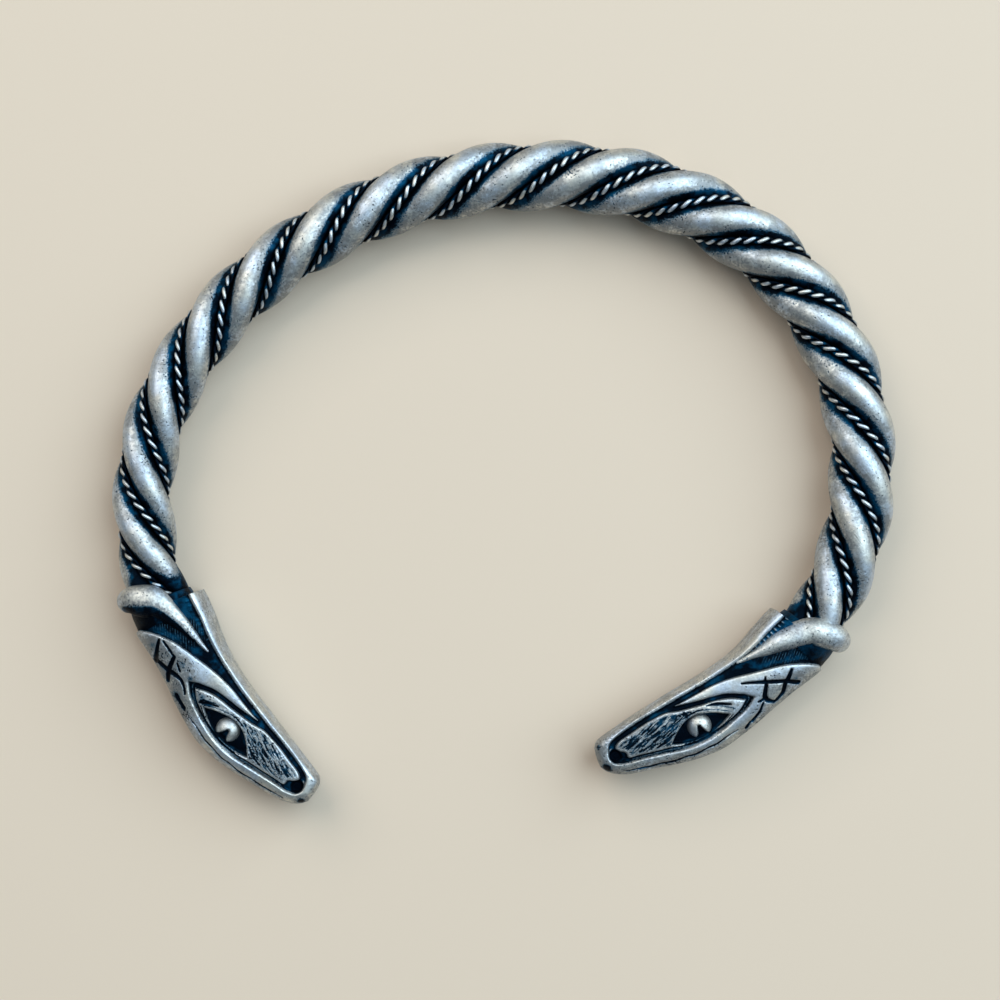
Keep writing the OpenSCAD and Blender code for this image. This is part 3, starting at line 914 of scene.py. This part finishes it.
class SilverLook(PropertyGroup):
    """Colours and gloss of the silver."""

    silver: FloatVectorProperty(
        name="Silver", description="Colour of rubbed silver", default=(0.58, 0.65, 0.74), subtype="COLOR")
    warm_silver: FloatVectorProperty(
        name="Warm silver", description="Colour of yellowed bare silver",
        default=(0.67, 0.66, 0.61), subtype="COLOR")
    tarnish: FloatVectorProperty(
        name="Tarnish", description="Colour of dull silver", default=(0.285, 0.295, 0.30), subtype="COLOR")
    patina: FloatVectorProperty(
        name="Patina", description="Colour of the recesses", default=(0.002, 0.005, 0.010), subtype="COLOR")
    # Partly real, partly painted: thin patina, coloured blue as a painted reflection
    thin_patina: FloatVectorProperty(
        name="Thin patina", description="Patina that is nearly rubbed through",
        default=(0.05, 0.13, 0.20), subtype="COLOR")
    # Colour of the painted sheen, a blue reflection put into the patina
    patina_sheen: FloatVectorProperty(
        name="Patina sheen", description="Colour of the clouds in the recesses",
        default=(0.003, 0.055, 0.120), subtype="COLOR")
    roughness: FloatProperty(
        name="Roughness", description="Roughness of rubbed silver", default=0.43, subtype="FACTOR")
    patina_roughness: FloatProperty(
        name="Patina roughness", description="Roughness of the recesses", default=0.55, subtype="FACTOR")
    bump: FloatProperty(
        name="Bump", description="Height of the cast grain", default=0.000035, unit="LENGTH")


class StageSettings(PropertyGroup):
    """Floor, lights and camera."""

    floor_colour: FloatVectorProperty(
        name="Floor", description="Colour of the floor", default=(0.63, 0.50, 0.385), subtype="COLOR")
    key_power: FloatProperty(
        name="Key light", description="Power of the large light at the right", default=20.0, unit="POWER")
    fill_power: FloatProperty(
        name="Fill light", description="Power of the small light at the left", default=6.0, unit="POWER")
    room_strength: FloatProperty(
        name="Room", description="Strength of the even light of the room", default=0.25, subtype="FACTOR")
    camera_place: FloatVectorProperty(
        name="Camera place", description="X and Y of the camera, and its height over the bar",
        default=(-0.00043, -0.00284, 0.22), precision=5, unit="LENGTH")
    lens: FloatProperty(name="Lens", description="Focal length", default=79.2, unit="CAMERA")


# Operators

class ARMRING_OT_rods(Operator):
    """Builds the three twisted rods"""

    bl_idname = "armring.rods"
    bl_label = "Rods"

    def execute(self, context):
        sizes, look = context.scene.ring_sizes, context.scene.silver_look
        material = aged_silver("rubbed_silver", look, ragged=0.65, pits=0.7, softness=0.24, clouds=0.7,
                               specks=0.55, grain=0.4, dents=0.6)
        for letter, turn in ROD_TURNS.items():
            s, rows, reach = rod_rows(sizes, turn)
            # The reach carries the painted shade on the side towards the wrist
            wear = 0.5 + (reach - ROD_WEAR_REACH) / ROD_WEAR_SPREAD - 0.8 * near_heads(s)[:, None]
            shell = Shell()
            shell.add(rows, wear=wear, sheen=0.3)
            settle(shell.build(f"twisted_rod_{letter}", material), f"strand_{letter}")
        return {"FINISHED"}


class ARMRING_OT_ropes(Operator):
    """Builds the wire ropes in the grooves between the rods"""

    bl_idname = "armring.ropes"
    bl_label = "Wire ropes"

    def execute(self, context):
        sizes, look = context.scene.ring_sizes, context.scene.silver_look
        material = aged_silver("rope_silver", look, ragged=0.35, pits=0.2, softness=0.16, clouds=0.5,
                               specks=0.4, grain=0.25, dents=0.2)
        for letter, turn in ROPE_TURNS.items():
            shell = Shell()
            for side_turn in (0, np.pi):
                s, rows, height = rope_rows(sizes, turn, side_turn)
                wear = 0.5 + (height - ROPE_WEAR_HEIGHT) / ROPE_WEAR_SPREAD - 0.6 * near_heads(s)[:, None]
                shell.add(rows, wear=wear, sheen=0.3)
            settle(shell.build(f"wire_rope_{letter}", material), f"rope_{letter}")
        return {"FINISHED"}


class ARMRING_OT_heads(Operator):
    """Builds the serpent heads"""

    bl_idname = "armring.heads"
    bl_label = "Serpent heads"

    def execute(self, context):
        sizes, look = context.scene.head_sizes, context.scene.silver_look
        material = aged_silver("head_silver", look, ragged=0.45, pits=1.1, softness=0.25, clouds=0.6,
                               specks=0.9, grain=0.7, dents=0.5, engraved=True)
        for side in ("left", "right"):
            shell = Shell()
            add_head_skin(shell, side, sizes)
            add_neck(shell, side)
            add_lobe(shell, side)
            add_eyes(shell, side, sizes)
            settle(shell.build(f"serpent_head_{side}", material), f"head_{side}")
        return {"FINISHED"}


class ARMRING_OT_stage(Operator):
    """Sets the floor, the lights and the camera"""

    bl_idname = "armring.stage"
    bl_label = "Stage"

    def execute(self, context):
        stage = context.scene.stage_settings
        add_floor(stage)
        context.scene.view_settings.view_transform = "Standard"
        add_light("window", (0.66, 0.34, 0.84), 1.3, stage.key_power, (0.70, 0.88, 1.0))
        add_light("upper_left", (-0.45, 0.55, 0.75), 0.8, stage.fill_power, (1.0, 0.98, 0.94))
        add_room(stage)
        add_camera(stage)
        return {"FINISHED"}


def add_floor(stage):
    """A plain pale floor, 3 metres square."""
    half = 1.5
    mesh = bpy.data.meshes.new("floor")
    corners = [(-half, -half, 0), (half, -half, 0), (half, half, 0), (-half, half, 0)]
    mesh.from_pydata(corners, [], [(0, 1, 2, 3)])
    material = bpy.data.materials.new("pale_floor")
    material.use_nodes = True
    shader = material.node_tree.nodes["Principled BSDF"]
    shader.inputs["Base Color"].default_value = (*stage.floor_colour, 1)
    shader.inputs["Roughness"].default_value = 0.6
    mesh.materials.append(material)
    floor = put_in_scene("floor", mesh)


def add_light(name, place, size, power, colour):
    """A square soft light that faces the middle of the ring."""
    lamp = bpy.data.lights.new(name, "AREA")
    lamp.size = size
    lamp.energy = power
    lamp.color = colour
    light = put_in_scene(name, lamp)
    light.location = place
    light.rotation_euler = Vector(place).to_track_quat("Z", "Y").to_euler()


def add_room(stage):
    """Even light from all round."""
    world = bpy.context.scene.world or bpy.data.worlds.new("room")
    bpy.context.scene.world = world
    world.use_nodes = True
    background = world.node_tree.nodes["Background"]
    background.inputs["Color"].default_value = (0.70, 0.88, 1.0, 1)
    background.inputs["Strength"].default_value = stage.room_strength


def add_camera(stage):
    """A camera straight over the ring, with the top of the picture towards +Y."""
    lens = bpy.data.cameras.new("camera")
    lens.sensor_width = 36
    lens.lens = stage.lens
    lens.clip_start = 0.01
    camera = put_in_scene("camera", lens)
    x, y, height = stage.camera_place
    camera.location = (x, y, AXIS_HEIGHT + height)
    bpy.context.scene.camera = camera


class ARMRING_PT_panel(Panel):
    """Lists the steps and the sizes of the arm ring"""

    bl_idname = "ARMRING_PT_panel"
    bl_label = "Arm ring"
    bl_space_type = "VIEW_3D"
    bl_region_type = "UI"
    bl_category = "Arm ring"

    def draw(self, context):
        for key in GROUPS:
            group = getattr(context.scene, key)
            box = self.layout.box()
            for name in group.__annotations__:
                box.prop(group, name)
        for operator in OPERATORS:
            self.layout.operator(operator.bl_idname)


OPERATORS = (ARMRING_OT_rods, ARMRING_OT_ropes, ARMRING_OT_heads, ARMRING_OT_stage)
GROUPS = {"ring_sizes": RingSizes, "head_sizes": HeadSizes, "silver_look": SilverLook,
          "stage_settings": StageSettings}


def register():
    for made in (*GROUPS.values(), *OPERATORS, ARMRING_PT_panel):
        bpy.utils.register_class(made)
    for name, group in GROUPS.items():
        setattr(bpy.types.Scene, name, PointerProperty(type=group))


def unregister():
    for name in GROUPS:
        delattr(bpy.types.Scene, name)
    for made in (ARMRING_PT_panel, *OPERATORS, *GROUPS.values()):
        bpy.utils.unregister_class(made)


def main():
    """Registers the add-on, sets the stage and builds every piece."""
    register()
    bpy.ops.armring.stage()
    bpy.ops.armring.rods()
    bpy.ops.armring.ropes()
    bpy.ops.armring.heads()


if __name__ == "__main__":
    main()
